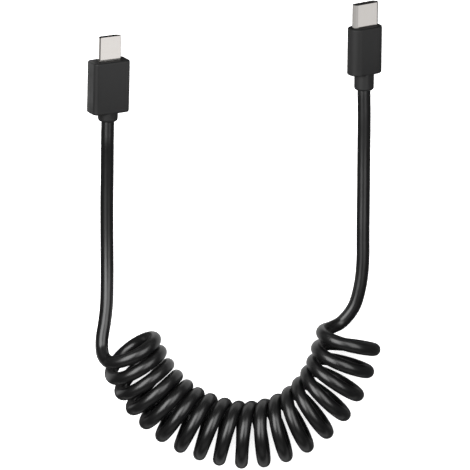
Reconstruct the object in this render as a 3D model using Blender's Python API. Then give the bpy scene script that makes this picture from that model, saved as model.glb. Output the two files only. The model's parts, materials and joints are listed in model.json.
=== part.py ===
"""Coiled charging cable: micro-B plug on a straight lead, a curly cord, and a type-C plug on a straight lead.

Metres, +Z up. The cable lies on the plane z = 0 with both plugs' tips towards +Y. The origin is on that plane,
below the centre of the whole cable. Each plug is modelled in its own frame: the origin is the middle of its
moulding's front face, +Y runs out of the tip and +Z is the normal of its upper wide face.
"""

import math

import bmesh
import bpy
import numpy as np
from mathutils import Matrix, Vector

# Cable and curly cord
CABLE_DIAMETER = 0.0035
COIL_OUTER_DIAMETER = 0.0190
CABLE_GAP = 0.0003
COIL_POINT_SPACING = 0.0035
LEAD_POINT_SPACING = 0.0070
COIL_BEVEL_RESOLUTION = 6
LEAD_BEVEL_RESOLUTION = 2
FINE_STEPS = 40

# Fits between the small pieces of a plug
FIT_GAP = 0.0001

# Micro-B plug
MICRO_FRONT = (-0.03495, 0.0489)
MICRO_ROLL = math.radians(33)
MICRO_PITCH = math.radians(3)
MICRO_YAW = math.radians(1.4)
MICRO_BODY_WIDTH = 0.0113
MICRO_BODY_THICKNESS = 0.0057
MICRO_BODY_LENGTH = 0.0149
MICRO_BODY_CORNER = 0.00135
MICRO_BODY_RIM = 0.0005
MICRO_COLLAR_DIAMETER = 0.0056
MICRO_COLLAR_LENGTH = 0.0025
MICRO_COLLAR_RIM = 0.0008
MICRO_POCKET_DEPTH = 0.0020
MICRO_SHELL_WIDTH = 0.00685
MICRO_SHELL_HEIGHT = 0.0018
MICRO_SHELL_LENGTH = 0.0069
MICRO_SHELL_WALL = 0.00025
MICRO_SHELL_CORNER = 0.0004
MICRO_KEY_WIDTH = 0.0009
MICRO_KEY_HEIGHT = 0.0008
MICRO_TONGUE_WIDTH = 0.0034
MICRO_TONGUE_THICKNESS = 0.00042
MICRO_TONGUE_SETBACK = 0.0008
MICRO_CONTACT_COUNT = 5
MICRO_CONTACT_PITCH = 0.00065
MICRO_CONTACT_WIDTH = 0.00035
MICRO_CONTACT_THICKNESS = 0.00012
MICRO_CONTACT_SETBACK = 0.0004
MICRO_LATCH_OFFSET = 0.0022
MICRO_LATCH_WIDTH = 0.0005
MICRO_LATCH_THICKNESS = 0.00015
MICRO_LATCH_SETBACK = 0.0012
MICRO_BARB_REACH = 0.0004
MICRO_BARB_LENGTH = 0.0008
MICRO_WINDOW_MARGIN = 0.00015

# Type-C plug
TYPE_C_FRONT = (0.0360, 0.05945)
TYPE_C_ROLL = math.radians(40)
TYPE_C_PITCH = math.radians(3)
TYPE_C_YAW = math.radians(0.9)
TYPE_C_BODY_WIDTH = 0.0102
TYPE_C_BODY_THICKNESS = 0.0056
TYPE_C_BODY_LENGTH = 0.0135
TYPE_C_BODY_CORNER = 0.0025
TYPE_C_BODY_RIM = 0.0005
TYPE_C_COLLAR_DIAMETER = 0.0055
TYPE_C_COLLAR_LENGTH = 0.0046
TYPE_C_COLLAR_RIM = 0.0007
TYPE_C_POCKET_DEPTH = 0.0020
TYPE_C_SHELL_WIDTH = 0.00825
TYPE_C_SHELL_HEIGHT = 0.0024
TYPE_C_SHELL_LENGTH = 0.00665
TYPE_C_SHELL_WALL = 0.00025
TYPE_C_LINER_SETBACK = 0.0003
TYPE_C_SLOT_WIDTH = 0.0067
TYPE_C_SLOT_HEIGHT = 0.0010
TYPE_C_SLOT_DEPTH = 0.0052
TYPE_C_CONTACT_COUNT = 12
TYPE_C_CONTACT_PITCH = 0.0005
TYPE_C_CONTACT_WIDTH = 0.00025
TYPE_C_CONTACT_THICKNESS = 0.0001
TYPE_C_CONTACT_LENGTH = 0.0040
TYPE_C_CONTACT_GAP = 0.00003

# Facets of the outlines
CORNER_STEPS = 5
ROUND_STEPS = 8
COLLAR_STEPS = 24

# The middle line of the curly cord, on plan, from the micro-B end to the type-C end
COIL_ROUTE = (
    (-0.0305, -0.0285),
    (-0.0274, -0.0362),
    (-0.0220, -0.0447),
    (-0.0147, -0.0511),
    (-0.0064, -0.0547),
    (0.0033, -0.0563),
    (0.0132, -0.0543),
    (0.0219, -0.0485),
    (0.0283, -0.0396),
    (0.0321, -0.0280),
)

# The leads after they leave their plugs, down to the ends of the curly cord
MICRO_LEAD_ROUTE = (
    (-0.0355, 0.0260, 0.0044),
    (-0.0357, 0.0170, 0.0030),
    (-0.0359, 0.0070, 0.0021),
    (-0.0359, -0.0045, 0.0019),
    (-0.0358, -0.0140, 0.0030),
    (-0.0358, -0.0210, 0.0054),
    (-0.0362, -0.0258, 0.0077),
    (-0.0367, -0.0292, 0.0090),
)
TYPE_C_LEAD_ROUTE = (
    (0.03575, 0.0340, 0.0034),
    (0.0356, 0.0237, 0.0023),
    (0.0355, 0.0122, 0.0019),
    (0.0354, 0.0008, 0.0019),
    (0.0353, -0.0090, 0.0019),
    (0.0346, -0.0150, 0.0019),
    (0.0331, -0.0205, 0.0019),
    (0.0313, -0.0234, 0.0021),
    (0.0291, -0.0256, 0.0026),
)


def make_material(name, colour, roughness, metallic=0.0):
    material = bpy.data.materials.new(name)
    material.use_nodes = True
    shader = material.node_tree.nodes["Principled BSDF"]
    shader.inputs["Base Color"].default_value = (*colour, 1.0)
    shader.inputs["Roughness"].default_value = roughness
    shader.inputs["Metallic"].default_value = metallic
    material.diffuse_color = (*colour, 1.0)
    return material


def clear_scene():
    for item in list(bpy.data.objects):
        bpy.data.objects.remove(item, do_unlink=True)


def add_object(name, data, material=None, parent=None):
    item = bpy.data.objects.new(name, data)
    bpy.context.scene.collection.objects.link(item)
    if material is not None:
        data.materials.append(material)
    item.parent = parent
    return item


def rectangle(width, height):
    half_width = width / 2
    half_height = height / 2
    return [
        (half_width, half_height),
        (-half_width, half_height),
        (-half_width, -half_height),
        (half_width, -half_height),
    ]


def keyed_rectangle(width, height, key_width, key_height):
    """A rectangle whose two lower corners are cut off at a slant."""
    half_width = width / 2
    half_height = height / 2
    return [
        (half_width, half_height),
        (-half_width, half_height),
        (-half_width, -half_height + key_height),
        (-half_width + key_width, -half_height),
        (half_width - key_width, -half_height),
        (half_width, -half_height + key_height),
    ]


def inset_corners(corners, distance):
    """The convex polygon whose sides lie this far inside the given one."""
    count = len(corners)
    lines = []
    for index in range(count):
        start = Vector(corners[index])
        along = (Vector(corners[(index + 1) % count]) - start).normalized()
        inward = Vector((-along.y, along.x))
        lines.append((start + inward * distance, along))
    inset = []
    for index in range(count):
        start, along = lines[index - 1]
        other_start, other_along = lines[index]
        cross = along.x * other_along.y - along.y * other_along.x
        offset = other_start - start
        reach = (offset.x * other_along.y - offset.y * other_along.x) / cross
        inset.append(tuple(start + along * reach))
    return inset


def round_corners(corners, radius, steps):
    """The polygon with an arc of this radius at each corner, and no point twice."""
    count = len(corners)
    outline = []
    for index in range(count):
        corner = Vector(corners[index])
        back = (Vector(corners[index - 1]) - corner).normalized()
        ahead = (Vector(corners[(index + 1) % count]) - corner).normalized()
        half_angle = back.angle(ahead) / 2
        middle = (back + ahead).normalized()
        centre = corner + middle * (radius / math.sin(half_angle))
        first = corner + back * (radius / math.tan(half_angle)) - centre
        turn = math.pi - 2 * half_angle
        for step in range(steps + 1):
            angle = turn * step / steps
            point = centre + Matrix.Rotation(angle, 2) @ first
            if not outline or (point - outline[-1]).length > radius * 0.01:
                outline.append(point)
    if (outline[0] - outline[-1]).length < radius * 0.01:
        outline.pop()
    return [tuple(point) for point in outline]


def circle(diameter, steps):
    angles = [2 * math.pi * step / steps for step in range(steps)]
    return [(diameter / 2 * math.cos(angle), diameter / 2 * math.sin(angle)) for angle in angles]


def mesh_of(name, bm):
    bmesh.ops.recalc_face_normals(bm, faces=bm.faces)
    mesh = bpy.data.meshes.new(name)
    bm.to_mesh(mesh)
    bm.free()
    mesh.shade_smooth()
    mesh.set_sharp_from_angle(angle=math.radians(30))
    return mesh


def prism_mesh(name, outline, back, front):
    """The outline, given as x and z, extruded along Y from back to front."""
    bm = bmesh.new()
    face = bm.faces.new([bm.verts.new((x, back, z)) for x, z in outline])
    extruded = bmesh.ops.extrude_face_region(bm, geom=[face])
    moved = [item for item in extruded["geom"] if isinstance(item, bmesh.types.BMVert)]
    bmesh.ops.translate(bm, verts=moved, vec=(0, front - back, 0))
    return mesh_of(name, bm)


def strip_mesh(name, profile, left, right):
    """The profile, given as y and z, extruded along X from left to right."""
    bm = bmesh.new()
    face = bm.faces.new([bm.verts.new((left, y, z)) for y, z in profile])
    extruded = bmesh.ops.extrude_face_region(bm, geom=[face])
    moved = [item for item in extruded["geom"] if isinstance(item, bmesh.types.BMVert)]
    bmesh.ops.translate(bm, verts=moved, vec=(right - left, 0, 0))
    return mesh_of(name, bm)


def sleeve_mesh(name, outer, inner, back, front):
    """A tube open at both ends, with two outlines of as many points for its outside and its bore."""
    bm = bmesh.new()
    rings = []
    for outline, y in ((outer, back), (outer, front), (inner, front), (inner, back)):
        rings.append([bm.verts.new((x, y, z)) for x, z in outline])
    count = len(outer)
    for ring, following in zip(rings, rings[1:] + rings[:1]):
        for index in range(count):
            after = (index + 1) % count
            bm.faces.new((ring[index], ring[after], following[after], following[index]))
    return mesh_of(name, bm)


def add_rim_bevel(item, width, segments=3):
    bevel = item.modifiers.new("Rim", "BEVEL")
    bevel.width = width
    bevel.segments = segments
    bevel.limit_method = "ANGLE"
    bevel.angle_limit = math.radians(60)


def add_boolean(item, other, operation):
    other.hide_render = True
    other.display_type = "WIRE"
    boolean = item.modifiers.new(operation.title(), "BOOLEAN")
    boolean.operation = operation
    boolean.object = other
    boolean.solver = "EXACT"


def rest_height(outline, roll):
    """How high a plug's axis stands when the outline, turned by the roll, touches z = 0."""
    return max(x * math.sin(roll) - z * math.cos(roll) for x, z in outline)


def add_plug_frame(name, front, outline, angles, heel):
    """The plug's frame, at the height where its turned moulding touches z = 0 this far behind the front."""
    roll, pitch, yaw = angles
    frame = bpy.data.objects.new(name, None)
    bpy.context.scene.collection.objects.link(frame)
    height = rest_height(outline, roll) * math.cos(pitch) + heel * math.sin(pitch)
    frame.location = (front[0], front[1], height)
    frame.rotation_mode = "YXZ"
    frame.rotation_euler = (pitch, roll, -yaw)
    return frame


def add_moulding(name, material, frame, outline, length, rim, collar, pocket):
    """The moulded body with its round collar behind, and the pocket that the shell stands in."""
    collar_diameter, collar_length, collar_rim = collar
    pocket_outline, pocket_depth = pocket
    body = add_object(name, prism_mesh(name, outline, -length, 0), material, frame)
    add_rim_bevel(body, rim)
    collar_outline = circle(collar_diameter, COLLAR_STEPS)
    collar_start = -length - collar_length
    collar_mesh = prism_mesh(name + "_collar", collar_outline, collar_start, -length / 2)
    collar_helper = add_object(name + "_collar", collar_mesh, None, frame)
    add_rim_bevel(collar_helper, collar_rim)
    add_boolean(body, collar_helper, "UNION")
    pocket_mesh = prism_mesh(name + "_pocket", pocket_outline, -pocket_depth, rim)
    add_boolean(body, add_object(name + "_pocket", pocket_mesh, None, frame), "DIFFERENCE")
    return body


def beam_profile(back, front, low, thickness, rise):
    """A contact's side view: a flat spring strip whose front part bows towards the mating tongue."""
    length = front - back
    bow_start = back + length * 0.55
    bow_top = back + length * 0.8
    return [
        (back, low),
        (front, low),
        (front, low + thickness),
        (bow_top, low + thickness + rise),
        (bow_start, low + thickness),
        (back, low + thickness),
    ]


def build_micro_plug(materials):
    body_outline = round_corners(
        rectangle(MICRO_BODY_WIDTH, MICRO_BODY_THICKNESS), MICRO_BODY_CORNER, CORNER_STEPS
    )
    angles = (MICRO_ROLL, MICRO_PITCH, MICRO_YAW)
    heel = MICRO_BODY_LENGTH - MICRO_BODY_RIM
    frame = add_plug_frame("micro_plug", MICRO_FRONT, body_outline, angles, heel)
    shell_corners = keyed_rectangle(
        MICRO_SHELL_WIDTH, MICRO_SHELL_HEIGHT, MICRO_KEY_WIDTH, MICRO_KEY_HEIGHT
    )
    pocket_corners = inset_corners(shell_corners, -FIT_GAP)
    add_moulding(
        "micro_overmold",
        materials["moulding"],
        frame,
        body_outline,
        MICRO_BODY_LENGTH,
        MICRO_BODY_RIM,
        (MICRO_COLLAR_DIAMETER, MICRO_COLLAR_LENGTH, MICRO_COLLAR_RIM),
        (round_corners(pocket_corners, MICRO_SHELL_CORNER, CORNER_STEPS), MICRO_POCKET_DEPTH),
    )

    back = FIT_GAP - MICRO_POCKET_DEPTH
    bore_corners = inset_corners(shell_corners, MICRO_SHELL_WALL)
    shell = add_object(
        "micro_shell",
        sleeve_mesh(
            "micro_shell",
            round_corners(shell_corners, MICRO_SHELL_CORNER, CORNER_STEPS),
            round_corners(bore_corners, MICRO_SHELL_CORNER - MICRO_SHELL_WALL, CORNER_STEPS),
            back,
            MICRO_SHELL_LENGTH,
        ),
        materials["steel"],
        frame,
    )

    bore_top = MICRO_SHELL_HEIGHT / 2 - MICRO_SHELL_WALL
    tongue_top = bore_top - FIT_GAP
    tongue_low = tongue_top - MICRO_TONGUE_THICKNESS
    tongue_front = MICRO_SHELL_LENGTH - MICRO_TONGUE_SETBACK
    half_tongue = MICRO_TONGUE_WIDTH / 2
    tongue_profile = [
        (back, tongue_low),
        (tongue_front, tongue_low),
        (tongue_front, tongue_top),
        (back, tongue_top),
    ]
    add_object(
        "micro_tongue",
        strip_mesh("micro_tongue", tongue_profile, -half_tongue, half_tongue),
        materials["insulator"],
        frame,
    )

    contact_top = tongue_low - FIT_GAP
    contact_profile = [
        (back, contact_top),
        (tongue_front - MICRO_CONTACT_SETBACK, contact_top),
        (tongue_front - MICRO_CONTACT_SETBACK, contact_top - MICRO_CONTACT_THICKNESS),
        (back, contact_top - MICRO_CONTACT_THICKNESS),
    ]
    first = -(MICRO_CONTACT_COUNT - 1) / 2 * MICRO_CONTACT_PITCH
    for index in range(MICRO_CONTACT_COUNT):
        name = f"micro_contact_{index + 1}"
        left = first + index * MICRO_CONTACT_PITCH - MICRO_CONTACT_WIDTH / 2
        mesh = strip_mesh(name, contact_profile, left, left + MICRO_CONTACT_WIDTH)
        add_object(name, mesh, materials["gold"], frame)

    latch_low = -bore_top + FIT_GAP
    latch_front = MICRO_SHELL_LENGTH - MICRO_LATCH_SETBACK
    barb_back = latch_front - MICRO_BARB_LENGTH
    barb_low = -MICRO_SHELL_HEIGHT / 2 - MICRO_BARB_REACH
    latch_profile = [
        (back, latch_low),
        (barb_back, latch_low),
        (barb_back, barb_low),
        (latch_front, latch_low),
        (latch_front, latch_low + MICRO_LATCH_THICKNESS),
        (back, latch_low + MICRO_LATCH_THICKNESS),
    ]
    window_profile = [
        (barb_back - MICRO_WINDOW_MARGIN, -bore_top + MICRO_SHELL_WALL),
        (barb_back - MICRO_WINDOW_MARGIN, barb_low),
        (latch_front + MICRO_WINDOW_MARGIN, barb_low),
        (latch_front + MICRO_WINDOW_MARGIN, -bore_top + MICRO_SHELL_WALL),
    ]
    for number, side in ((1, -1), (2, 1)):
        name = f"micro_latch_{number}"
        middle = side * MICRO_LATCH_OFFSET
        half_latch = MICRO_LATCH_WIDTH / 2
        mesh = strip_mesh(name, latch_profile, middle - half_latch, middle + half_latch)
        add_object(name, mesh, materials["steel"], frame)
        half_window = half_latch + MICRO_WINDOW_MARGIN
        window_name = f"micro_window_{number}"
        window_mesh = strip_mesh(window_name, window_profile, middle - half_window, middle + half_window)
        add_boolean(shell, add_object(window_name, window_mesh, None, frame), "DIFFERENCE")
    return frame


def build_type_c_plug(materials):
    body_outline = round_corners(
        rectangle(TYPE_C_BODY_WIDTH, TYPE_C_BODY_THICKNESS), TYPE_C_BODY_CORNER, ROUND_STEPS
    )
    angles = (TYPE_C_ROLL, TYPE_C_PITCH, TYPE_C_YAW)
    heel = TYPE_C_BODY_LENGTH - TYPE_C_BODY_RIM
    frame = add_plug_frame("type_c_plug", TYPE_C_FRONT, body_outline, angles, heel)
    shell_corners = rectangle(TYPE_C_SHELL_WIDTH, TYPE_C_SHELL_HEIGHT)
    half_height = TYPE_C_SHELL_HEIGHT / 2
    pocket_corners = inset_corners(shell_corners, -FIT_GAP)
    add_moulding(
        "type_c_overmold",
        materials["moulding"],
        frame,
        body_outline,
        TYPE_C_BODY_LENGTH,
        TYPE_C_BODY_RIM,
        (TYPE_C_COLLAR_DIAMETER, TYPE_C_COLLAR_LENGTH, TYPE_C_COLLAR_RIM),
        (round_corners(pocket_corners, half_height + FIT_GAP, ROUND_STEPS), TYPE_C_POCKET_DEPTH),
    )

    back = FIT_GAP - TYPE_C_POCKET_DEPTH
    bore_corners = inset_corners(shell_corners, TYPE_C_SHELL_WALL)
    add_object(
        "type_c_shell",
        sleeve_mesh(
            "type_c_shell",
            round_corners(shell_corners, half_height, ROUND_STEPS),
            round_corners(bore_corners, half_height - TYPE_C_SHELL_WALL, ROUND_STEPS),
            back,
            TYPE_C_SHELL_LENGTH,
        ),
        materials["steel"],
        frame,
    )

    liner_inset = TYPE_C_SHELL_WALL + FIT_GAP
    liner_corners = inset_corners(shell_corners, liner_inset)
    liner_outline = round_corners(liner_corners, half_height - liner_inset, ROUND_STEPS)
    liner_front = TYPE_C_SHELL_LENGTH - TYPE_C_LINER_SETBACK
    liner_mesh = prism_mesh("type_c_liner", liner_outline, back, liner_front)
    liner = add_object("type_c_liner", liner_mesh, materials["insulator"], frame)
    slot_back = liner_front - TYPE_C_SLOT_DEPTH
    slot_outline = rectangle(TYPE_C_SLOT_WIDTH, TYPE_C_SLOT_HEIGHT)
    slot_mesh = prism_mesh("type_c_slot", slot_outline, slot_back, TYPE_C_SHELL_LENGTH)
    add_boolean(liner, add_object("type_c_slot", slot_mesh, None, frame), "DIFFERENCE")

    contact_low = -TYPE_C_SLOT_HEIGHT / 2 + TYPE_C_CONTACT_GAP
    contact_back = slot_back + TYPE_C_CONTACT_GAP
    profile = beam_profile(
        contact_back,
        contact_back + TYPE_C_CONTACT_LENGTH,
        contact_low,
        TYPE_C_CONTACT_THICKNESS,
        TYPE_C_CONTACT_THICKNESS,
    )
    first = -(TYPE_C_CONTACT_COUNT - 1) / 2 * TYPE_C_CONTACT_PITCH
    for row, side in (("a", 1), ("b", -1)):
        row_profile = [(y, -side * z) for y, z in profile]
        for index in range(TYPE_C_CONTACT_COUNT):
            name = f"type_c_contact_{row}{index + 1}"
            left = first + index * TYPE_C_CONTACT_PITCH - TYPE_C_CONTACT_WIDTH / 2
            mesh = strip_mesh(name, row_profile, left, left + TYPE_C_CONTACT_WIDTH)
            add_object(name, mesh, materials["gold"], frame)
    return frame


def smooth_points(route, spacing):
    """Points a fixed distance apart on one smooth curve through the route's own points."""
    knots = [np.array(point, float) for point in route]
    knots.insert(0, 2 * knots[0] - knots[1])
    knots.append(2 * knots[-1] - knots[-2])
    fine = []
    for index in range(1, len(knots) - 2):
        before, start, end, after = knots[index - 1 : index + 3]
        times = [0.0]
        for first, second in ((before, start), (start, end), (end, after)):
            times.append(times[-1] + math.sqrt(np.linalg.norm(second - first)))
        for step in range(FINE_STEPS):
            moment = times[1] + (times[2] - times[1]) * step / FINE_STEPS
            first = blend(before, start, times[0], times[1], moment)
            second = blend(start, end, times[1], times[2], moment)
            third = blend(end, after, times[2], times[3], moment)
            lower = blend(first, second, times[0], times[2], moment)
            upper = blend(second, third, times[1], times[3], moment)
            fine.append(blend(lower, upper, times[1], times[2], moment))
    fine.append(knots[-2])
    fine = np.array(fine)
    steps = np.linalg.norm(np.diff(fine, axis=0), axis=1)
    along = np.concatenate([[0.0], np.cumsum(steps)])
    count = max(2, round(along[-1] / spacing)) + 1
    places = np.linspace(0.0, along[-1], count)
    return [tuple(np.interp(place, along, fine[:, axis]) for axis in range(fine.shape[1])) for place in places]


def blend(first, second, start, end, moment):
    share = (moment - start) / (end - start)
    return first * (1 - share) + second * share


def add_tube(name, points, diameter, resolution, material):
    curve = bpy.data.curves.new(name, "CURVE")
    curve.dimensions = "3D"
    curve.twist_mode = "Z_UP"
    curve.bevel_depth = diameter / 2
    curve.bevel_resolution = resolution
    curve.use_fill_caps = True
    spline = curve.splines.new("POLY")
    spline.points.add(len(points) - 1)
    for item, point in zip(spline.points, points):
        item.co = (*point, 1.0)
    return add_object(name, curve, material)


def lead_start(frame, length, collar_length):
    """The middle of the cable's end face, just behind the plug's collar."""
    bpy.context.view_layer.update()
    return frame.matrix_world @ Vector((0, -length - collar_length - CABLE_GAP, 0))


def build_cable(materials, micro_frame, type_c_frame):
    coil_height = COIL_OUTER_DIAMETER / 2
    coil_points = smooth_points([(x, y, coil_height) for x, y in COIL_ROUTE], COIL_POINT_SPACING)
    add_tube("curly_cord", coil_points, COIL_OUTER_DIAMETER, COIL_BEVEL_RESOLUTION, materials["jacket"])
    leads = (
        ("micro_lead", micro_frame, MICRO_BODY_LENGTH, MICRO_COLLAR_LENGTH, MICRO_LEAD_ROUTE),
        ("type_c_lead", type_c_frame, TYPE_C_BODY_LENGTH, TYPE_C_COLLAR_LENGTH, TYPE_C_LEAD_ROUTE),
    )
    for name, frame, length, collar_length, route in leads:
        start = lead_start(frame, length, collar_length)
        points = smooth_points([tuple(start), *route], LEAD_POINT_SPACING)
        add_tube(name, points, CABLE_DIAMETER, LEAD_BEVEL_RESOLUTION, materials["jacket"])


def main():
    clear_scene()
    materials = {
        "moulding": make_material("black_moulding", (0.022, 0.022, 0.023), 0.55),
        "jacket": make_material("black_jacket", (0.012, 0.012, 0.013), 0.32),
        "steel": make_material("plated_steel", (0.72, 0.69, 0.65), 0.25, 1.0),
        "gold": make_material("gold_contact", (0.83, 0.62, 0.25), 0.3, 1.0),
        "insulator": make_material("black_insulator", (0.015, 0.015, 0.016), 0.5),
    }
    micro_frame = build_micro_plug(materials)
    type_c_frame = build_type_c_plug(materials)
    build_cable(materials, micro_frame, type_c_frame)


main()
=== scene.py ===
import json
import math
import bpy
import bmesh
from mathutils import Matrix, Quaternion, Vector

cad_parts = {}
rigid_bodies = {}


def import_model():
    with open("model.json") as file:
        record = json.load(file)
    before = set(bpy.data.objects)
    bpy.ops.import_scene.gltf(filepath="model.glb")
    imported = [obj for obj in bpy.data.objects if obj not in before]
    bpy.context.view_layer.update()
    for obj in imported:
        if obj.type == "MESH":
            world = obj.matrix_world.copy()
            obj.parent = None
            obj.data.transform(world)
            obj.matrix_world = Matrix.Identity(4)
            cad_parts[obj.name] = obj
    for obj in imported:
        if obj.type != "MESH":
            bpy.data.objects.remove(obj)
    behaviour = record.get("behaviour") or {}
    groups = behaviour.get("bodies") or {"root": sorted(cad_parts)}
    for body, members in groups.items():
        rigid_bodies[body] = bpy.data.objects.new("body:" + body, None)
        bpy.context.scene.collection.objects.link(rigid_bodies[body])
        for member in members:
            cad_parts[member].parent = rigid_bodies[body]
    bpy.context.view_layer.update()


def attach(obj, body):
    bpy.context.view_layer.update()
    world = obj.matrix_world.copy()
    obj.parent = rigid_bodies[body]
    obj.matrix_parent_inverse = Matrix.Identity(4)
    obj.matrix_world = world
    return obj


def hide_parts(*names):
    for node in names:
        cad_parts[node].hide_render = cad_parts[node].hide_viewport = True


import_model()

mm = 0.001


# Selecting and shaping helpers

def deselectAll():
    if bpy.context.mode != "OBJECT":
        bpy.ops.object.mode_set(mode="OBJECT")
    bpy.ops.object.select_all(action="DESELECT")


def makeActive(obj):
    deselectAll()
    obj.select_set(True)
    bpy.context.view_layer.objects.active = obj


def startEdit(obj):
    makeActive(obj)
    bpy.ops.object.mode_set(mode="EDIT")
    bpy.ops.mesh.select_all(action="DESELECT")


def endEdit():
    bpy.ops.object.mode_set(mode="OBJECT")


def pickFaces(obj, test):
    bpy.ops.mesh.select_mode(type="FACE")
    bpy.ops.mesh.select_all(action="DESELECT")
    mesh = bmesh.from_edit_mesh(obj.data)
    for face in mesh.faces:
        if test(face.calc_center_median(), face.normal):
            face.select_set(True)
    bmesh.update_edit_mesh(obj.data)


def pickEdges(obj, test):
    bpy.ops.mesh.select_mode(type="EDGE")
    bpy.ops.mesh.select_all(action="DESELECT")
    mesh = bmesh.from_edit_mesh(obj.data)
    for edge in mesh.edges:
        if test(edge.verts[0].co, edge.verts[1].co):
            edge.select_set(True)
    bmesh.update_edit_mesh(obj.data)


def applyModifiers(obj):
    makeActive(obj)
    for modifier in list(obj.modifiers):
        bpy.ops.object.modifier_apply(modifier=modifier.name)


def cutOrJoin(obj, other, operation):
    makeActive(obj)
    step = obj.modifiers.new("shape", "BOOLEAN")
    step.operation = operation
    step.object = other
    bpy.ops.object.modifier_apply(modifier=step.name)
    bpy.data.objects.remove(other)


def smoothShade(obj, degrees=32):
    makeActive(obj)
    bpy.ops.object.shade_smooth_by_angle(angle=math.radians(degrees))


def addBox(name, width, back, front, height, middle=(0, 0)):
    # A box that runs along Y from back to front, left in edit mode.
    deselectAll()
    bpy.ops.mesh.primitive_cube_add(size=1)
    obj = bpy.context.object
    obj.name = name
    startEdit(obj)
    bpy.ops.mesh.select_all(action="SELECT")
    bpy.ops.transform.resize(value=(width, front - back, height))
    bpy.ops.transform.translate(value=(middle[0], (front + back) / 2, middle[1]))
    return obj


def roundEdges(obj, test, width, segments):
    pickEdges(obj, test)
    bpy.ops.mesh.bevel(offset=width, segments=segments, affect="EDGES")


def runsAlongY(a, b):
    return abs(a.x - b.x) < 0.001 and abs(a.z - b.z) < 0.001


def liesAt(y):
    return lambda a, b: abs(a.y - y) < 0.001 and abs(b.y - y) < 0.001


def sliceAt(place, normal, **settings):
    bpy.ops.mesh.select_all(action="SELECT")
    bpy.ops.mesh.bisect(plane_co=place, plane_no=normal, **settings)


def copyOf(obj, name):
    twin = obj.copy()
    twin.data = obj.data.copy()
    twin.name = name
    bpy.context.scene.collection.objects.link(twin)
    return twin


def settle(obj, place, name, material):
    # The piece is modelled in mm in its plug's own frame, and its mesh is then put where the plug lies.
    obj.name = name
    obj.data.name = name
    obj.data.materials.clear()
    obj.data.materials.append(material)
    obj.matrix_world = Matrix.Scale(mm, 4) @ place
    makeActive(obj)
    bpy.ops.object.transform_apply(location=True, rotation=True, scale=True)
    smoothShade(obj)
    weighted = obj.modifiers.new("flatFaces", "WEIGHTED_NORMAL")
    weighted.keep_sharp = True
    applyModifiers(obj)
    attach(obj, "root")
    return obj


# Camera

camera = {
    "toCamera": (0.07, 0.225, 0.972),    # the way from the cable to the camera
    "target": (-0.35, -1.55, 0.0),       # mm, what the middle of the picture shows
    "distance": 4000.0,
    "pixelsPerMm": 3.6,
    "picture": 470,                      # pixels across
    "sensor": 36.0,
    "nearest": 0.05,                     # m
    "farthest": 20.0,
}


def cameraAxes():
    toCamera = Vector(camera["toCamera"]).normalized()
    right = Vector((0, 1, 0)).cross(toCamera).normalized()
    return right, toCamera.cross(right), toCamera


def addCamera(d):
    right, up, toCamera = cameraAxes()
    data = bpy.data.cameras.new("pictureCamera")
    data.sensor_width = d["sensor"]
    data.lens = d["sensor"] * d["distance"] * d["pixelsPerMm"] / d["picture"]
    data.clip_start, data.clip_end = d["nearest"], d["farthest"]
    obj = bpy.data.objects.new("pictureCamera", data)
    bpy.context.scene.collection.objects.link(obj)
    turn = Matrix((right, up, toCamera)).transposed().to_4x4()
    obj.matrix_world = Matrix.Translation((Vector(d["target"]) + toCamera * d["distance"]) * mm) @ turn
    bpy.context.scene.camera = obj


addCamera(camera)
print("camera set")


# Material building blocks

def newMaterial(name, settings):
    material = bpy.data.materials.new(name)
    material.use_nodes = True
    tree = material.node_tree
    shader = tree.nodes["Principled BSDF"]
    for socket, value in settings.items():
        shader.inputs[socket].default_value = value
    return material, tree, shader


def addNode(tree, kind, inputs=None, **settings):
    node = tree.nodes.new(kind)
    for name, value in settings.items():
        setattr(node, name, value)
    for name, value in (inputs or {}).items():
        if isinstance(value, bpy.types.NodeSocket):
            tree.links.new(value, node.inputs[name])
        else:
            node.inputs[name].default_value = value
    return node


def surfaceNoise(tree, where, scale, detail, stretch=(1, 1, 1)):
    mapping = addNode(tree, "ShaderNodeMapping", {"Vector": where, "Scale": stretch})
    return addNode(tree, "ShaderNodeTexNoise", {
        "Vector": mapping.outputs["Vector"], "Scale": scale, "Detail": detail,
        "Roughness": 0.55}).outputs["Fac"]


def spread(tree, value, low, high):
    # A noise runs from about 0.3 to 0.7, and this gives it the range that is wanted.
    return addNode(tree, "ShaderNodeMapRange", {
        "Value": value, "From Min": 0.3, "From Max": 0.7, "To Min": low, "To Max": high}).outputs["Result"]


def mixColours(tree, factor, first, second):
    node = addNode(tree, "ShaderNodeMix", data_type="RGBA")
    tree.links.new(factor, node.inputs[0])
    node.inputs[6].default_value = (*first, 1)
    node.inputs[7].default_value = (*second, 1)
    return node.outputs[2]


def varyShader(tree, shader, d, roughNoise, colourNoise):
    tree.links.new(spread(tree, roughNoise, *d["roughness"]), shader.inputs["Roughness"])
    tree.links.new(mixColours(tree, colourNoise, *d["colours"]), shader.inputs["Base Color"])


def addBump(tree, shader, heights, distance):
    # heights is a list of (height socket, strength), laid one on the other.
    normal = None
    for height, strength in heights:
        node = addNode(tree, "ShaderNodeBump", {
            "Height": height, "Strength": strength, "Distance": distance})
        if normal is not None:
            tree.links.new(normal, node.inputs["Normal"])
        normal = node.outputs["Normal"]
    tree.links.new(normal, shader.inputs["Normal"])


# Where each plug lies, and the sizes of its moulding in mm

microPlug = {
    "front": (-34.95, 48.9),       # middle of the moulding's front face, on plan
    "roll": 33.0,                  # degrees
    "pitch": 3.0,
    "yaw": 1.4,
    "width": 11.3,
    "thickness": 5.7,
    "length": 14.9,
    "corner": 1.35,
    "rim": 0.5,
    "collarDiameter": 5.6,
    "collarLength": 2.5,
    "collarRim": 0.8,
    "pocketDepth": 2.0,
}

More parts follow.
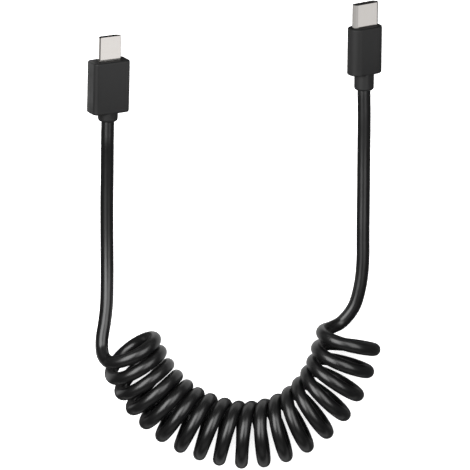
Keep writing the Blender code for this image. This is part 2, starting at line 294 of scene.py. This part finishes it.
typeCPlug = {
    "front": (36.0, 59.45),
    "roll": 40.0,
    "pitch": 3.0,
    "yaw": 0.9,
    "width": 10.2,
    "thickness": 5.6,
    "length": 13.5,
    "corner": 2.5,
    "rim": 0.5,
    "collarDiameter": 5.5,
    "collarLength": 4.6,
    "collarRim": 0.7,
    "pocketDepth": 2.0,
}


def plugPlace(d):
    # The plug's frame has its origin in the moulding's front face, +Y out of the tip and +Z out of the
    # upper wide face. Its height is where the rolled and pitched moulding touches the floor.
    roll, pitch, yaw = (math.radians(d[name]) for name in ("roll", "pitch", "yaw"))
    across, down = d["width"] / 2 - d["corner"], d["thickness"] / 2 - d["corner"]
    rolled = across * math.sin(roll) + down * math.cos(roll) + d["corner"]
    height = rolled * math.cos(pitch) + (d["length"] - d["rim"]) * math.sin(pitch)
    turn = Matrix.Rotation(-yaw, 4, "Z") @ Matrix.Rotation(pitch, 4, "X") @ Matrix.Rotation(roll, 4, "Y")
    return Matrix.Translation((*d["front"], height)) @ turn


def collarEnd(d, past=0.0):
    return plugPlace(d) @ Vector((0, -d["length"] - d["collarLength"] - past, 0))


# Cord: its route, its coil and its jacket

cord = {
    "diameter": 3.65,
    "coilRadius": 7.65,            # middle of the cable to the middle of the coil
    "spineHeight": 9.5,
    "stepsPerTurn": 84,
    "leadStep": 0.8,
    "sides": 26,
    "runsIn": 1.0,                 # how far the cable goes into each plug's collar
    "cadGap": 0.3,                 # from the collar to the route's first point outside it
    "firstCrest": 3.88,            # distance along the coil's spine to the top of the first turn
    "pitch": [(1, 4.84), (4, 4.74), (7, 4.90), (10, 4.96), (14, 5.46), (18, 5.38)],
    # degrees that a turn is swung on plan, and that its top leans along the coil
    "yaw": [(1, -7.7), (3, -7.4), (5, -3.2), (8, 0.2), (11, 1.6), (13, 5.0), (15, 3.8), (17, -1.0),
            (18, -9.0)],
    "lean": [(1, 9.9), (1.5, 9.0), (2, 5.5), (4, -2.4), (6, -5.6), (9, -5.2), (11, -4.2), (13, -4.0),
             (15, -1.5), (17, 0.9), (18, 4.6)],
    "crestPhase": 0.25,            # share of a turn from the helix's zero angle to its top
    "leaveStart": 0.10,            # the turn at which the helix takes over from the first lead
    "leaveEnd": 17.60,             # the turn at which it hands over to the second
    "spinePerStep": 24,
    "leadPerStep": 16,
    "joinPoints": 6,               # how many helix points apart those that join a lead's curve are
    "exitShare": 0.45,             # share of the way to a lead's first point at which one more is put
}

coilRoute = [
    (-30.5, -28.5), (-27.4, -36.2), (-22.0, -44.7), (-14.7, -51.1), (-6.4, -54.7),
    (3.3, -56.3), (13.2, -54.3), (21.9, -48.5), (28.3, -39.6), (32.1, -28.0),
]
microLeadRoute = [
    (-35.5, 26.0, 4.4), (-35.7, 17.0, 3.0), (-35.9, 7.0, 2.1), (-35.9, -4.5, 1.9),
    (-35.8, -14.0, 3.0), (-35.8, -21.0, 5.4), (-36.2, -25.8, 7.7), (-36.7, -29.2, 9.0),
]
typeCLeadRoute = [
    (35.75, 34.0, 3.4), (35.6, 23.7, 2.3), (35.5, 12.2, 1.9), (35.4, 0.8, 1.9), (35.3, -9.0, 1.9),
    (34.6, -15.0, 1.9), (33.1, -20.5, 1.9), (31.3, -23.4, 2.1), (29.1, -25.6, 2.6),
]
bendIntoCoil = [(-36.7, -32.0, 10.2), (-36.1, -33.9, 12.0)]


def between(a, b, share):
    return a + (b - a) * share


def smoothCurve(points, perStep):
    # A centripetal Catmull-Rom curve: it passes through every point and bends evenly.
    points = [Vector(point) for point in points]
    ends = [points[0] * 2 - points[1]] + points + [points[-1] * 2 - points[-2]]
    out = []
    for p0, p1, p2, p3 in zip(ends, ends[1:], ends[2:], ends[3:]):
        t1 = (p1 - p0).length ** 0.5
        t2 = t1 + (p2 - p1).length ** 0.5
        t3 = t2 + (p3 - p2).length ** 0.5
        for index in range(perStep):
            t = between(t1, t2, index / perStep)
            a1 = between(p0, p1, t / t1)
            a2 = between(p1, p2, (t - t1) / (t2 - t1))
            a3 = between(p2, p3, (t - t2) / (t3 - t2))
            b1 = between(a1, a2, t / t2)
            b2 = between(a2, a3, (t - t1) / (t3 - t1))
            out.append(between(b1, b2, (t - t1) / (t2 - t1)))
    return out + [points[-1]]


def distancesOf(points):
    out = [0.0]
    for a, b in zip(points, points[1:]):
        out.append(out[-1] + (b - a).length)
    return out


def pointAt(points, distances, distance):
    # Past either end the line goes straight on.
    index = 1
    while index < len(points) - 1 and distances[index] < distance:
        index += 1
    share = (distance - distances[index - 1]) / (distances[index] - distances[index - 1])
    return between(points[index - 1], points[index], share)


def evenly(points, step):
    distances = distancesOf(points)
    count = max(2, round(distances[-1] / step))
    return [pointAt(points, distances, distances[-1] * index / count) for index in range(count + 1)]


def easedKeys(keys, at):
    # keys are (turn, value), and the value eases from one to the next.
    for (t0, v0), (t1, v1) in zip(keys, keys[1:]):
        if at <= t1 or t1 == keys[-1][0]:
            share = min(max((at - t0) / (t1 - t0), 0.0), 1.0)
            return between(v0, v1, share * share * (3 - 2 * share))


def helixPoints(d):
    spine = smoothCurve([(x, y, d["spineHeight"]) for x, y in coilRoute], d["spinePerStep"])
    distances = distancesOf(spine)
    count = round((d["leaveEnd"] - d["leaveStart"]) * d["stepsPerTurn"])
    step = (d["leaveEnd"] - d["leaveStart"]) / count
    along = d["firstCrest"] + (d["leaveStart"] - d["crestPhase"]) * d["pitch"][0][1]
    out = []
    for index in range(count + 1):
        turn = d["leaveStart"] + step * index
        key = turn + 1 - d["crestPhase"]
        middle = pointAt(spine, distances, along)
        ahead = pointAt(spine, distances, along + 0.5) - pointAt(spine, distances, along - 0.5)
        ahead.normalize()
        outward = Vector((ahead.y, -ahead.x, 0))
        yaw, lean = (math.radians(easedKeys(d[name], key)) for name in ("yaw", "lean"))
        across = outward * math.cos(yaw) - ahead * math.sin(yaw)
        forward = ahead * math.cos(yaw) + outward * math.sin(yaw)
        upward = Vector((0, 0, 1)) * math.cos(lean) + forward * math.sin(lean)
        angle = 2 * math.pi * turn
        out.append(middle + (across * math.cos(angle) + upward * math.sin(angle)) * d["coilRadius"])
        along += step * easedKeys(d["pitch"], key)
    return out


def roundTube(name, points, radius, sides):
    # The rings turn as little as they can from one to the next. The attribute holds each vertex's place
    # round the cable and along it, so that a pattern follows the jacket without a seam.
    ahead = (points[1] - points[0]).normalized()
    side = ahead.orthogonal().normalized()
    distances = distancesOf(points)
    verts, faces, places = [], [], []
    for index, point in enumerate(points):
        before, after = points[max(index - 1, 0)], points[min(index + 1, len(points) - 1)]
        turned = (after - before).normalized()
        side = ahead.rotation_difference(turned) @ side
        side = (side - turned * side.dot(turned)).normalized()
        ahead = turned
        other = ahead.cross(side)
        for corner in range(sides):
            angle = 2 * math.pi * corner / sides
            verts.append(point + (side * math.cos(angle) + other * math.sin(angle)) * radius)
            places.append((math.cos(angle) * radius, math.sin(angle) * radius, distances[index]))
    for ring in range(len(points) - 1):
        for corner in range(sides):
            a = ring * sides + corner
            b = ring * sides + (corner + 1) % sides
            faces.append((a, b, b + sides, a + sides))
    faces.append(tuple(reversed(range(sides))))
    faces.append(tuple(range(len(verts) - sides, len(verts))))
    mesh = bpy.data.meshes.new(name)
    mesh.from_pydata(verts, [], faces)
    attribute = mesh.attributes.new("alongCable", "FLOAT_VECTOR", "POINT")
    attribute.data.foreach_set("vector", [value for place in places for value in place])
    mesh.update()
    obj = bpy.data.objects.new(name, mesh)
    bpy.context.scene.collection.objects.link(obj)
    return obj


def cordRoute(d):
    helix = helixPoints(d)
    ends = []
    for plug, route in ((microPlug, microLeadRoute), (typeCPlug, typeCLeadRoute)):
        inside, outside = collarEnd(plug, -d["runsIn"]), collarEnd(plug, d["cadGap"])
        ends.append([inside, outside, between(outside, Vector(route[0]), d["exitShare"]), *route])
    # Three of the helix's own points join in at each end, so that the curve runs into it without a
    # corner, and the two stretches between them are then left out.
    join, perStep = d["joinPoints"], d["leadPerStep"]
    first = smoothCurve([*ends[0], *bendIntoCoil, *helix[:2 * join + 1:join]], perStep)
    first = first[:-2 * perStep]
    last = smoothCurve([*helix[-2 * join - 1::join], *reversed(ends[1])], perStep)
    last = last[2 * perStep:]
    return evenly(first, d["leadStep"])[:-1] + helix[:-1] + evenly(last, d["leadStep"])


jacket = {
    "colours": ((0.0022, 0.0022, 0.0023), (0.0032, 0.0032, 0.0033)),
    "roughness": (0.27, 0.33),
    "gloss": 0.5,
    "drawnScale": 2600,            # the marks that the die leaves along the cable
    "drawnStretch": (1, 1, 0.03),
    "drawnStrength": 0.10,
    "grainScale": 9000,
    "grainStrength": 0.08,
    "cloudScale": 160,
    "bumpHeight": 0.02,
}


def jacketMaterial(d):
    material, tree, shader = newMaterial("jacketBlack", {"Specular IOR Level": d["gloss"]})
    where = addNode(tree, "ShaderNodeAttribute", attribute_name="alongCable").outputs["Vector"]
    drawn = surfaceNoise(tree, where, d["drawnScale"], 3, d["drawnStretch"])
    grain = surfaceNoise(tree, where, d["grainScale"], 2)
    cloud = surfaceNoise(tree, where, d["cloudScale"], 3)
    varyShader(tree, shader, d, cloud, cloud)
    addBump(tree, shader, [(drawn, d["drawnStrength"]), (grain, d["grainStrength"])], d["bumpHeight"] * mm)
    return material


jacketBlack = jacketMaterial(jacket)


def addCord(d):
    route = [point * mm for point in cordRoute(d)]
    obj = roundTube("cableJacket", route, d["diameter"] / 2 * mm, d["sides"])
    obj.data.materials.append(jacketBlack)
    smoothShade(obj, 60)
    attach(obj, "root")
    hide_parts("micro_lead", "curly_cord", "type_c_lead")
    return obj, route


cableJacket, cableRoute = addCord(cord)


# Materials of the plugs

# Each has a fine noise and some have a coarse one too. The last keys say which of them the roughness
# and the colour follow.
mouldingLook = {
    "colours": ((0.0045, 0.0045, 0.0046), (0.0075, 0.0075, 0.0076)),
    "roughness": (0.46, 0.56),
    "gloss": 0.3,
    "fine": (7000, 4, (1, 1, 1)),      # scale, detail and stretch
    "coarse": (300, 3, (1, 1, 1)),
    "bump": (0.35, 0.02),              # strength, and height in mm
    "roughFollows": "coarse",
    "colourFollows": "fine",
}

nickelLook = {
    "colours": ((0.84, 0.80, 0.76), (0.88, 0.85, 0.82)),
    "roughness": (0.06, 0.11),
    "metal": 1.0,
    "fine": (6000, 3, (1, 0.02, 1)),
    "coarse": (500, 3, (1, 1, 1)),
    "bump": (0.12, 0.01),
    "roughFollows": "fine",
    "colourFollows": "coarse",
}

goldLook = {
    "colours": ((0.80, 0.57, 0.25), (0.86, 0.65, 0.32)),
    "roughness": (0.2, 0.34),
    "metal": 1.0,
    "fine": (9000, 2, (1, 0.05, 1)),
    "roughFollows": "fine",
    "colourFollows": "fine",
}

insulatorLook = {
    "colours": ((0.010, 0.010, 0.010), (0.015, 0.015, 0.015)),
    "roughness": (0.4, 0.52),
    "gloss": 0.4,
    "fine": (8000, 3, (1, 1, 1)),
    "bump": (0.3, 0.01),
    "roughFollows": "fine",
    "colourFollows": "fine",
}


def plugMaterial(name, d):
    material, tree, shader = newMaterial(name, {
        "Metallic": d.get("metal", 0.0), "Specular IOR Level": d.get("gloss", 0.5)})
    where = addNode(tree, "ShaderNodeTexCoord").outputs["Object"]
    noises = {kind: surfaceNoise(tree, where, *d[kind]) for kind in ("fine", "coarse") if kind in d}
    varyShader(tree, shader, d, noises[d["roughFollows"]], noises[d["colourFollows"]])
    if "bump" in d:
        strength, height = d["bump"]
        addBump(tree, shader, [(noises["fine"], strength)], height * mm)
    return material


mouldingBlack = plugMaterial("mouldingBlack", mouldingLook)
nickelPlate = plugMaterial("nickelPlate", nickelLook)
goldContact = plugMaterial("goldContact", goldLook)
insulatorBlack = plugMaterial("insulatorBlack", insulatorLook)


# Outlines that several pieces share

def keyedBlock(d, grow, back, front):
    # A block of the micro shell's outline, with its two lower corners cut at a slant.
    width, height = d["width"] + 2 * grow, d["height"] + 2 * grow
    obj = addBox("keyedBlock", width, back, front, height)
    for side in (-1, 1):
        normal = Vector((side * d["keyHeight"], 0, -d["keyWidth"])).normalized()
        foot = Vector((side * (d["width"] / 2 - d["keyWidth"]), 0, -d["height"] / 2)) + normal * grow
        sliceAt(foot, normal, use_fill=True, clear_outer=True)
    roundEdges(obj, runsAlongY, d["corner"] + grow, 5)
    return obj


def roundBlock(width, height, back, front, corner, segments):
    # A block with round corners along Y, or with half-round sides where the corner is half its height.
    obj = addBox("roundBlock", width, back, front, height)
    roundEdges(obj, runsAlongY, corner, segments)
    bpy.ops.mesh.select_all(action="SELECT")
    bpy.ops.mesh.remove_doubles(threshold=0.001)
    return obj


def hollowOut(obj, wall, front, lip):
    # The block loses both ends and gets a wall, whose front edges are then broken.
    pickFaces(obj, lambda centre, normal: abs(normal.y) > 0.9)
    bpy.ops.mesh.delete(type="FACE")
    bpy.ops.mesh.select_all(action="SELECT")
    bpy.ops.mesh.normals_make_consistent(inside=False)
    endEdit()
    shell = obj.modifiers.new("wall", "SOLIDIFY")
    shell.thickness = wall
    shell.offset = -1
    shell.use_even_offset = True
    applyModifiers(obj)
    startEdit(obj)
    roundEdges(obj, liesAt(front), lip, 2)
    endEdit()
    return obj


# Mouldings with their collars

moulding = {
    "bore": 3.75,
    "boreDepth": 1.2,
    "boreLip": 0.08,
    "junctionFillet": 0.25,
    "fitGap": 0.1,
    "partingRise": 0.025,
    "partingHalfWidth": 0.07,
    "cornerSegments": 12,
    "rimSegments": 5,
    "collarSides": 64,
}


def addCollar(plug, d):
    radius = plug["collarDiameter"] / 2
    end = -plug["length"] - plug["collarLength"]
    inner = -plug["length"] / 2
    deselectAll()
    bpy.ops.mesh.primitive_cylinder_add(vertices=d["collarSides"], radius=radius, depth=inner - end,
                                        location=(0, (inner + end) / 2, 0), rotation=(math.pi / 2, 0, 0))
    obj = bpy.context.object
    bpy.ops.object.transform_apply(location=True, rotation=True, scale=True)
    startEdit(obj)
    roundEdges(obj, liesAt(end), plug["collarRim"], d["rimSegments"])
    pickFaces(obj, lambda centre, normal: normal.y < -0.99 and centre.y < end + 0.01)
    bpy.ops.mesh.inset(thickness=radius - plug["collarRim"] - d["bore"] / 2)
    bpy.ops.mesh.extrude_region_move(TRANSFORM_OT_translate={"value": (0, d["boreDepth"], 0)})
    roundEdges(obj, lambda a, b: liesAt(end)(a, b) and math.hypot(a.x, a.z) < d["bore"] / 2 + 0.01,
               d["boreLip"], 2)
    endEdit()
    return obj


def addMoulding(plug, d, pocket, name):
    end = -plug["length"]
    body = roundBlock(plug["width"], plug["thickness"], end, 0, plug["corner"], d["cornerSegments"])
    roundEdges(body, lambda a, b: liesAt(0)(a, b) or liesAt(end)(a, b), plug["rim"], d["rimSegments"])
    endEdit()
    cutOrJoin(body, addCollar(plug, d), "UNION")
    radius = plug["collarDiameter"] / 2
    startEdit(body)
    roundEdges(body, lambda a, b: liesAt(end)(a, b) and all(
        abs(math.hypot(point.x, point.z) - radius) < 0.01 for point in (a, b)), d["junctionFillet"], 3)
    endEdit()
    cutOrJoin(body, pocket, "DIFFERENCE")
    # The two halves of the mould leave a faint line along each side.
    startEdit(body)
    for height in (-d["partingHalfWidth"], 0, d["partingHalfWidth"]):
        sliceAt((0, 0, height), (0, 0, 1))
    for side in (-1, 1):
        pickEdges(body, lambda a, b: abs(a.z) + abs(b.z) < 0.001 and max(a.y, b.y) < -plug["rim"] + 0.001
                  and min(a.x * side, b.x * side) > radius - 0.01)
        bpy.ops.transform.translate(value=(side * d["partingRise"], 0, 0))
    endEdit()
    return settle(body, plugPlace(plug), name, mouldingBlack)


# Micro plug's shell, tongue, contacts and latches

microShell = {
    "width": 6.85,
    "height": 1.8,
    "length": 6.9,
    "wall": 0.25,
    "corner": 0.4,
    "keyWidth": 0.9,
    "keyHeight": 0.8,
    "lip": 0.06,
    "leadIn": 0.45,                # length of the front part that is drawn in a little
    "leadInShare": (0.99, 0.96),   # of the width and of the height
    "seam": 0.05,
    "tongueWidth": 3.4,
    "tongueThickness": 0.42,
    "tongueSetback": 0.8,
    "tongueFrontRound": 0.12,
    "tongueSideRound": 0.05,
    "contacts": 5,
    "contactPitch": 0.65,
    "contactWidth": 0.35,
    "contactThickness": 0.12,
    "contactSetback": 0.4,
    "contactFrontRound": 0.12,
    "contactSideRound": 0.03,
    "latchOffset": 2.2,
    "latchWidth": 0.5,
    "latchThickness": 0.15,
    "latchSetback": 1.2,
    "barbReach": 0.4,
    "barbLength": 0.8,
    "barbTip": 0.04,               # how deep the barb still is at its front
    "latchRound": 0.02,
    "windowMargin": 0.15,
}


def addMicroShell(plug, d, gap):
    back, front = gap - plug["pocketDepth"], d["length"]
    obj = keyedBlock(d, 0, back, front)
    sliceAt((0, front - d["leadIn"], 0), (0, 1, 0))
    pickEdges(obj, liesAt(front))
    wide, high = d["leadInShare"]
    bpy.ops.transform.resize(value=(wide, 1, high), center_override=(0, front, 0))
    hollowOut(obj, d["wall"], front, d["lip"])
    low = -d["height"] / 2
    barbFront = front - d["latchSetback"]
    barbBack = barbFront - d["barbLength"]
    for side in (-1, 1):
        window = addBox("window", d["latchWidth"] + 2 * d["windowMargin"], barbBack - d["windowMargin"],
                        barbFront + d["windowMargin"], 2 * d["wall"] + 0.2, (side * d["latchOffset"], low))
        endEdit()
        cutOrJoin(obj, window, "DIFFERENCE")
    seam = addBox("seam", d["seam"], back - 1, front + 1, 3 * d["wall"], (0, low))
    endEdit()
    cutOrJoin(obj, seam, "DIFFERENCE")
    settle(obj, plugPlace(plug), "microShell", nickelPlate)
    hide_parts("micro_shell")


def addMicroTongue(plug, d, gap):
    back, front = gap - plug["pocketDepth"], d["length"] - d["tongueSetback"]
    top = d["height"] / 2 - d["wall"] - gap
    low = top - d["tongueThickness"]
    obj = addBox("tongue", d["tongueWidth"], back, front, top - low, (0, (top + low) / 2))
    roundEdges(obj, liesAt(front), d["tongueFrontRound"], 3)
    roundEdges(obj, runsAlongY, d["tongueSideRound"], 2)
    endEdit()
    settle(obj, plugPlace(plug), "microTongue", insulatorBlack)
    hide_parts("micro_tongue")
    contactFront = front - d["contactSetback"]
    contact = addBox("contact", d["contactWidth"], back, contactFront, d["contactThickness"],
                     (0, low - gap - d["contactThickness"] / 2))
    roundEdges(contact, lambda a, b: liesAt(contactFront)(a, b) and abs(a.x - b.x) < 0.001,
               d["contactFrontRound"], 3)
    roundEdges(contact, lambda a, b: max(a.z, b.z) < low - gap - d["contactThickness"] + 0.001,
               d["contactSideRound"], 2)
    endEdit()
    first = -(d["contacts"] - 1) / 2 * d["contactPitch"]
    for index in range(d["contacts"]):
        twin = copyOf(contact, "microContact")
        shift = Matrix.Translation((first + index * d["contactPitch"], 0, 0))
        settle(twin, plugPlace(plug) @ shift, f"microContact{index + 1}", goldContact)
        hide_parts(f"micro_contact_{index + 1}")
    bpy.data.objects.remove(contact)


def addMicroLatches(plug, d, gap):
    back, front = gap - plug["pocketDepth"], d["length"] - d["latchSetback"]
    low = -d["height"] / 2 + d["wall"] + gap
    reach = low + d["height"] / 2 + d["barbReach"]
    latch = addBox("latch", d["latchWidth"], back, front, d["latchThickness"],
                   (0, low + d["latchThickness"] / 2))
    sliceAt((0, front - d["barbLength"], 0), (0, 1, 0))
    pickFaces(latch, lambda centre, normal: normal.z < -0.9 and centre.y > front - d["barbLength"])
    bpy.ops.mesh.extrude_region_move(TRANSFORM_OT_translate={"value": (0, 0, -reach)})
    pickEdges(latch, lambda a, b: liesAt(front)(a, b) and max(a.z, b.z) < low - 0.1)
    bpy.ops.transform.translate(value=(0, 0, reach - d["barbTip"]))
    bpy.ops.mesh.select_all(action="SELECT")
    bpy.ops.mesh.normals_make_consistent(inside=False)
    bpy.ops.mesh.bevel(offset=d["latchRound"], segments=2, affect="EDGES")
    endEdit()
    for number, side in ((1, -1), (2, 1)):
        twin = copyOf(latch, "microLatch")
        shift = Matrix.Translation((side * d["latchOffset"], 0, 0))
        settle(twin, plugPlace(plug) @ shift, f"microLatch{number}", nickelPlate)
        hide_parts(f"micro_latch_{number}")
    bpy.data.objects.remove(latch)


gap = moulding["fitGap"]
pocket = keyedBlock(microShell, gap, -microPlug["pocketDepth"], 1)
endEdit()
microMoulding = addMoulding(microPlug, moulding, pocket, "microMoulding")
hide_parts("micro_overmold")
addMicroShell(microPlug, microShell, gap)
addMicroTongue(microPlug, microShell, gap)
addMicroLatches(microPlug, microShell, gap)
print("micro plug made")


# Type-C plug's shell, liner and contacts

typeCShell = {
    "width": 8.25,
    "height": 2.4,
    "length": 6.65,
    "wall": 0.25,
    "segments": 14,
    "lip": 0.09,
    "linerSetback": 0.3,
    "linerFrontRound": 0.1,
    "slotWidth": 6.7,
    "slotHeight": 1.0,
    "slotDepth": 5.2,
    "slotCorner": 0.12,
    "contacts": 12,
    "contactPitch": 0.5,
    "contactWidth": 0.25,
    "contactThickness": 0.1,
    "contactGap": 0.03,
    "contactStart": 0.01,          # length of the box that a contact is drawn out of
    # each stretch of a contact from the back: how far it runs, and how far it rises into the slot
    "contactSteps": [(2.2, 0), (0.5, 0.05), (0.3, 0.05), (0.4, 0.0), (0.3, -0.04), (0.3, -0.05)],
}


def addTypeCShell(plug, d, gap):
    back = gap - plug["pocketDepth"]
    obj = roundBlock(d["width"], d["height"], back, d["length"], d["height"] / 2, d["segments"])
    hollowOut(obj, d["wall"], d["length"], d["lip"])
    settle(obj, plugPlace(plug), "typeCShell", nickelPlate)
    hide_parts("type_c_shell")
    return obj


def addTypeCLiner(plug, d, gap):
    back, front = gap - plug["pocketDepth"], d["length"] - d["linerSetback"]
    inset = d["wall"] + gap
    obj = roundBlock(d["width"] - 2 * inset, d["height"] - 2 * inset, back, front, d["height"] / 2 - inset,
                     d["segments"])
    roundEdges(obj, liesAt(front), d["linerFrontRound"], 3)
    endEdit()
    slot = addBox("slot", d["slotWidth"], front - d["slotDepth"], front + 1, d["slotHeight"])
    roundEdges(slot, runsAlongY, d["slotCorner"], 3)
    endEdit()
    cutOrJoin(obj, slot, "DIFFERENCE")
    settle(obj, plugPlace(plug), "typeCLiner", insulatorBlack)
    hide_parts("type_c_liner")
    return obj


def addTypeCContacts(plug, d):
    back = d["length"] - d["linerSetback"] - d["slotDepth"] + d["contactGap"]
    low = -d["slotHeight"] / 2 + d["contactGap"]
    contact = addBox("contact", d["contactWidth"], back - d["contactStart"], back, d["contactThickness"],
                     (0, low + d["contactThickness"] / 2))
    pickFaces(contact, lambda centre, normal: normal.y > 0.9)
    for run, rise in d["contactSteps"]:
        bpy.ops.mesh.extrude_region_move(TRANSFORM_OT_translate={"value": (0, run, rise)})
    endEdit()
    first = -(d["contacts"] - 1) / 2 * d["contactPitch"]
    rows = []
    for row, turn in (("a", math.pi), ("b", 0)):
        twins = []
        for index in range(d["contacts"]):
            twin = copyOf(contact, "typeCContact")
            twin.location.x = first + index * d["contactPitch"]
            twins.append(twin)
        deselectAll()
        for twin in twins:
            twin.select_set(True)
        bpy.context.view_layer.objects.active = twins[0]
        bpy.ops.object.join()
        obj = bpy.context.object
        bpy.ops.object.transform_apply(location=True, rotation=True, scale=True)
        place = plugPlace(plug) @ Matrix.Rotation(turn, 4, "Y")
        settle(obj, place, f"typeCContacts{row.upper()}", goldContact)
        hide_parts(*(f"type_c_contact_{row}{index + 1}" for index in range(d["contacts"])))
        rows.append(obj)
    bpy.data.objects.remove(contact)
    return rows


pocket = roundBlock(typeCShell["width"] + 2 * gap, typeCShell["height"] + 2 * gap,
                    -typeCPlug["pocketDepth"], 1, typeCShell["height"] / 2 + gap, typeCShell["segments"])
endEdit()
typeCMoulding = addMoulding(typeCPlug, moulding, pocket, "typeCMoulding")
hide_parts("type_c_overmold")
typeCPieces = [typeCMoulding, addTypeCShell(typeCPlug, typeCShell, gap),
               addTypeCLiner(typeCPlug, typeCShell, gap), *addTypeCContacts(typeCPlug, typeCShell)]
print("type C plug made")


# Floor, world and lights

stage = {
    "floorSize": 4.0,
    "floorColour": (0.9, 0.9, 0.9),
    "floorGlow": 0.7,
    "roomLight": 0.55,             # what the pale room gives to matt surfaces
    "roomGloss": 0.10,             # what shows of it in a glossy one
    "lightAim": (0, -50, 10),      # mm, the middle of the coil
    "lightDistance": 240.0,
    # name: degrees from the camera's axis to the right and up, degrees wide and high, brightness
    "lights": {
        "mainLeft": (-29, 20, 38, 50, 6.7),
        "mainLeftLow": (-29, -13, 38, 14, 0.9),
        "middle": (1, 22, 20, 44, 1.6),
        "weakRight": (29, 20, 34, 50, 3.9),
        "weakRightLow": (29, -13, 34, 14, 0.8),
        "lowBottom": (0, -66, 60, 34, 0.32),
    },
    # name: middle and half sides in mm of a glowing plate that lies flat, brightness
    "plates": {
        "plateBottom": ((0, -170, -1), (90, 90), 0.5),
        "plateTop": ((0, -27, -1), (26, 14), 0.7),
        "plateLeft": ((-62, -40, -1), (18, 11), 0.9),
        "plateMicro": ((-75, 43, -1), (35, 15), 1.4),
        "plateTypeC": ((-2, 48, -1), (20, 14), 0.8),
    },
    # What each shell reflects: degrees that the normal of the stretch of shell that mirrors a card
    # is turned from the wide face's, and the card's brightness
    "cardDistance": 26.0,
    "cardLength": 26.0,
    "cardAngle": 60.0,             # degrees that a card is wide, seen from its shell
    "cardAim": 3.5,                # how far from the moulding the cards' middle lies
    "cards": {
        "micro": [(0, 0.85), (-30, 0.16), (-60, 0.10)],
        "typeC": [(0, 0.68), (-30, 0.50), (-60, 0.45), (-90, 0.35)],
    },
}


def addFloor(d):
    deselectAll()
    bpy.ops.mesh.primitive_plane_add(size=d["floorSize"], location=(0, 0, 0))
    floor = bpy.context.object
    floor.name = "paleFloor"
    floor.data.materials.append(newMaterial("paleFloor", {
        "Base Color": (*d["floorColour"], 1), "Roughness": 0.9, "Specular IOR Level": 0.1,
        "Emission Color": (1, 1, 1, 1), "Emission Strength": d["floorGlow"]})[0])
    floor.visible_glossy = False


def addGlow(name, size, place, turn, brightness):
    # A glowing plane that only glossy rays see.
    deselectAll()
    bpy.ops.mesh.primitive_plane_add(size=1)
    glow = bpy.context.object
    glow.name = name
    glow.matrix_world = Matrix.LocRotScale(place, turn, (*size, 1))
    glow.data.materials.append(newMaterial(name, {
        "Base Color": (0, 0, 0, 1), "Emission Color": (1, 1, 1, 1), "Emission Strength": brightness})[0])
    glow.visible_diffuse = glow.visible_camera = glow.visible_shadow = False


def addPlates(d):
    # They lie under the floor, which glossy rays pass, and show only in what faces outward and down.
    for name, (middle, half, brightness) in d["plates"].items():
        addGlow(name, (2 * half[0] * mm, 2 * half[1] * mm), Vector(middle) * mm, Quaternion(), brightness)


def addWorld(d):
    world = bpy.data.worlds.new("paleRoom")
    world.use_nodes = True
    tree = world.node_tree
    path = addNode(tree, "ShaderNodeLightPath")
    strength = addNode(tree, "ShaderNodeMix", {"Factor": path.outputs["Is Glossy Ray"]})
    strength.inputs[2].default_value, strength.inputs[3].default_value = d["roomLight"], d["roomGloss"]
    back = tree.nodes["Background"]
    back.inputs["Color"].default_value = (1, 1, 1, 1)
    tree.links.new(strength.outputs[0], back.inputs["Strength"])
    bpy.context.scene.world = world


def addSoftbox(name, place, toward, width, height, brightness):
    data = bpy.data.lights.new(name, "AREA")
    data.shape = "RECTANGLE"
    data.size, data.size_y = width, height
    data.energy = brightness * math.pi * width * height
    obj = bpy.data.objects.new(name, data)
    obj.location = place
    back = -Vector(toward).normalized()
    side = Vector((0, 1, 0)).cross(back).normalized()
    obj.rotation_mode = "QUATERNION"
    obj.rotation_quaternion = Matrix((side, back.cross(side), back)).transposed().to_quaternion()
    obj.visible_camera = False
    bpy.context.scene.collection.objects.link(obj)


def addLights(d):
    right, up, toCamera = cameraAxes()
    distance = d["lightDistance"] * mm
    aim = Vector(d["lightAim"]) * mm
    for name, (across, along, wide, high, brightness) in d["lights"].items():
        across, along = math.radians(across), math.radians(along)
        direction = toCamera * math.cos(along) + up * math.sin(along)
        direction = direction * math.cos(across) + right * math.sin(across)
        width, height = (2 * distance * math.tan(math.radians(angle / 2)) for angle in (wide, high))
        addSoftbox(name, aim + direction * distance, -direction, width, height, brightness)


def addCards(d):
    # Each card stands where a part of the shell's outline mirrors it to the camera.
    toCamera = cameraAxes()[2]
    away = d["cardDistance"] * mm
    size = (2 * away * math.tan(math.radians(d["cardAngle"] / 2)), d["cardLength"] * mm)
    for plug, name in ((microPlug, "micro"), (typeCPlug, "typeC")):
        place = plugPlace(plug)
        middle = place @ Vector((0, d["cardAim"], 0)) * mm
        tip = place.col[1].xyz
        for index, (degrees, brightness) in enumerate(d["cards"][name]):
            normal = place.to_3x3() @ Matrix.Rotation(math.radians(degrees), 3, "Y") @ Vector((0, 0, 1))
            mirrored = normal * 2 * normal.dot(toCamera) - toCamera
            turn = Matrix((mirrored.cross(tip), tip, mirrored)).transposed().to_quaternion()
            addGlow(f"{name}Card{index + 1}", size, middle + mirrored * away, turn, brightness)


def unlinkShells(names):
    # The softboxes leave the bare metal alone, which reflects its own cards.
    kept = bpy.data.collections.new("softboxKeepsOff")
    for name in names:
        kept.objects.link(bpy.data.objects[name])
    for link in kept.collection_objects:
        link.light_linking.link_state = "EXCLUDE"
    for obj in bpy.data.objects:
        if obj.type == "LIGHT":
            obj.light_linking.receiver_collection = kept


addFloor(stage)
addPlates(stage)
addWorld(stage)
addLights(stage)
addCards(stage)
unlinkShells(["microShell", "microLatch1", "microLatch2", "typeCShell"])
bpy.context.scene.view_settings.view_transform = "Standard"
print("floor and lights set")
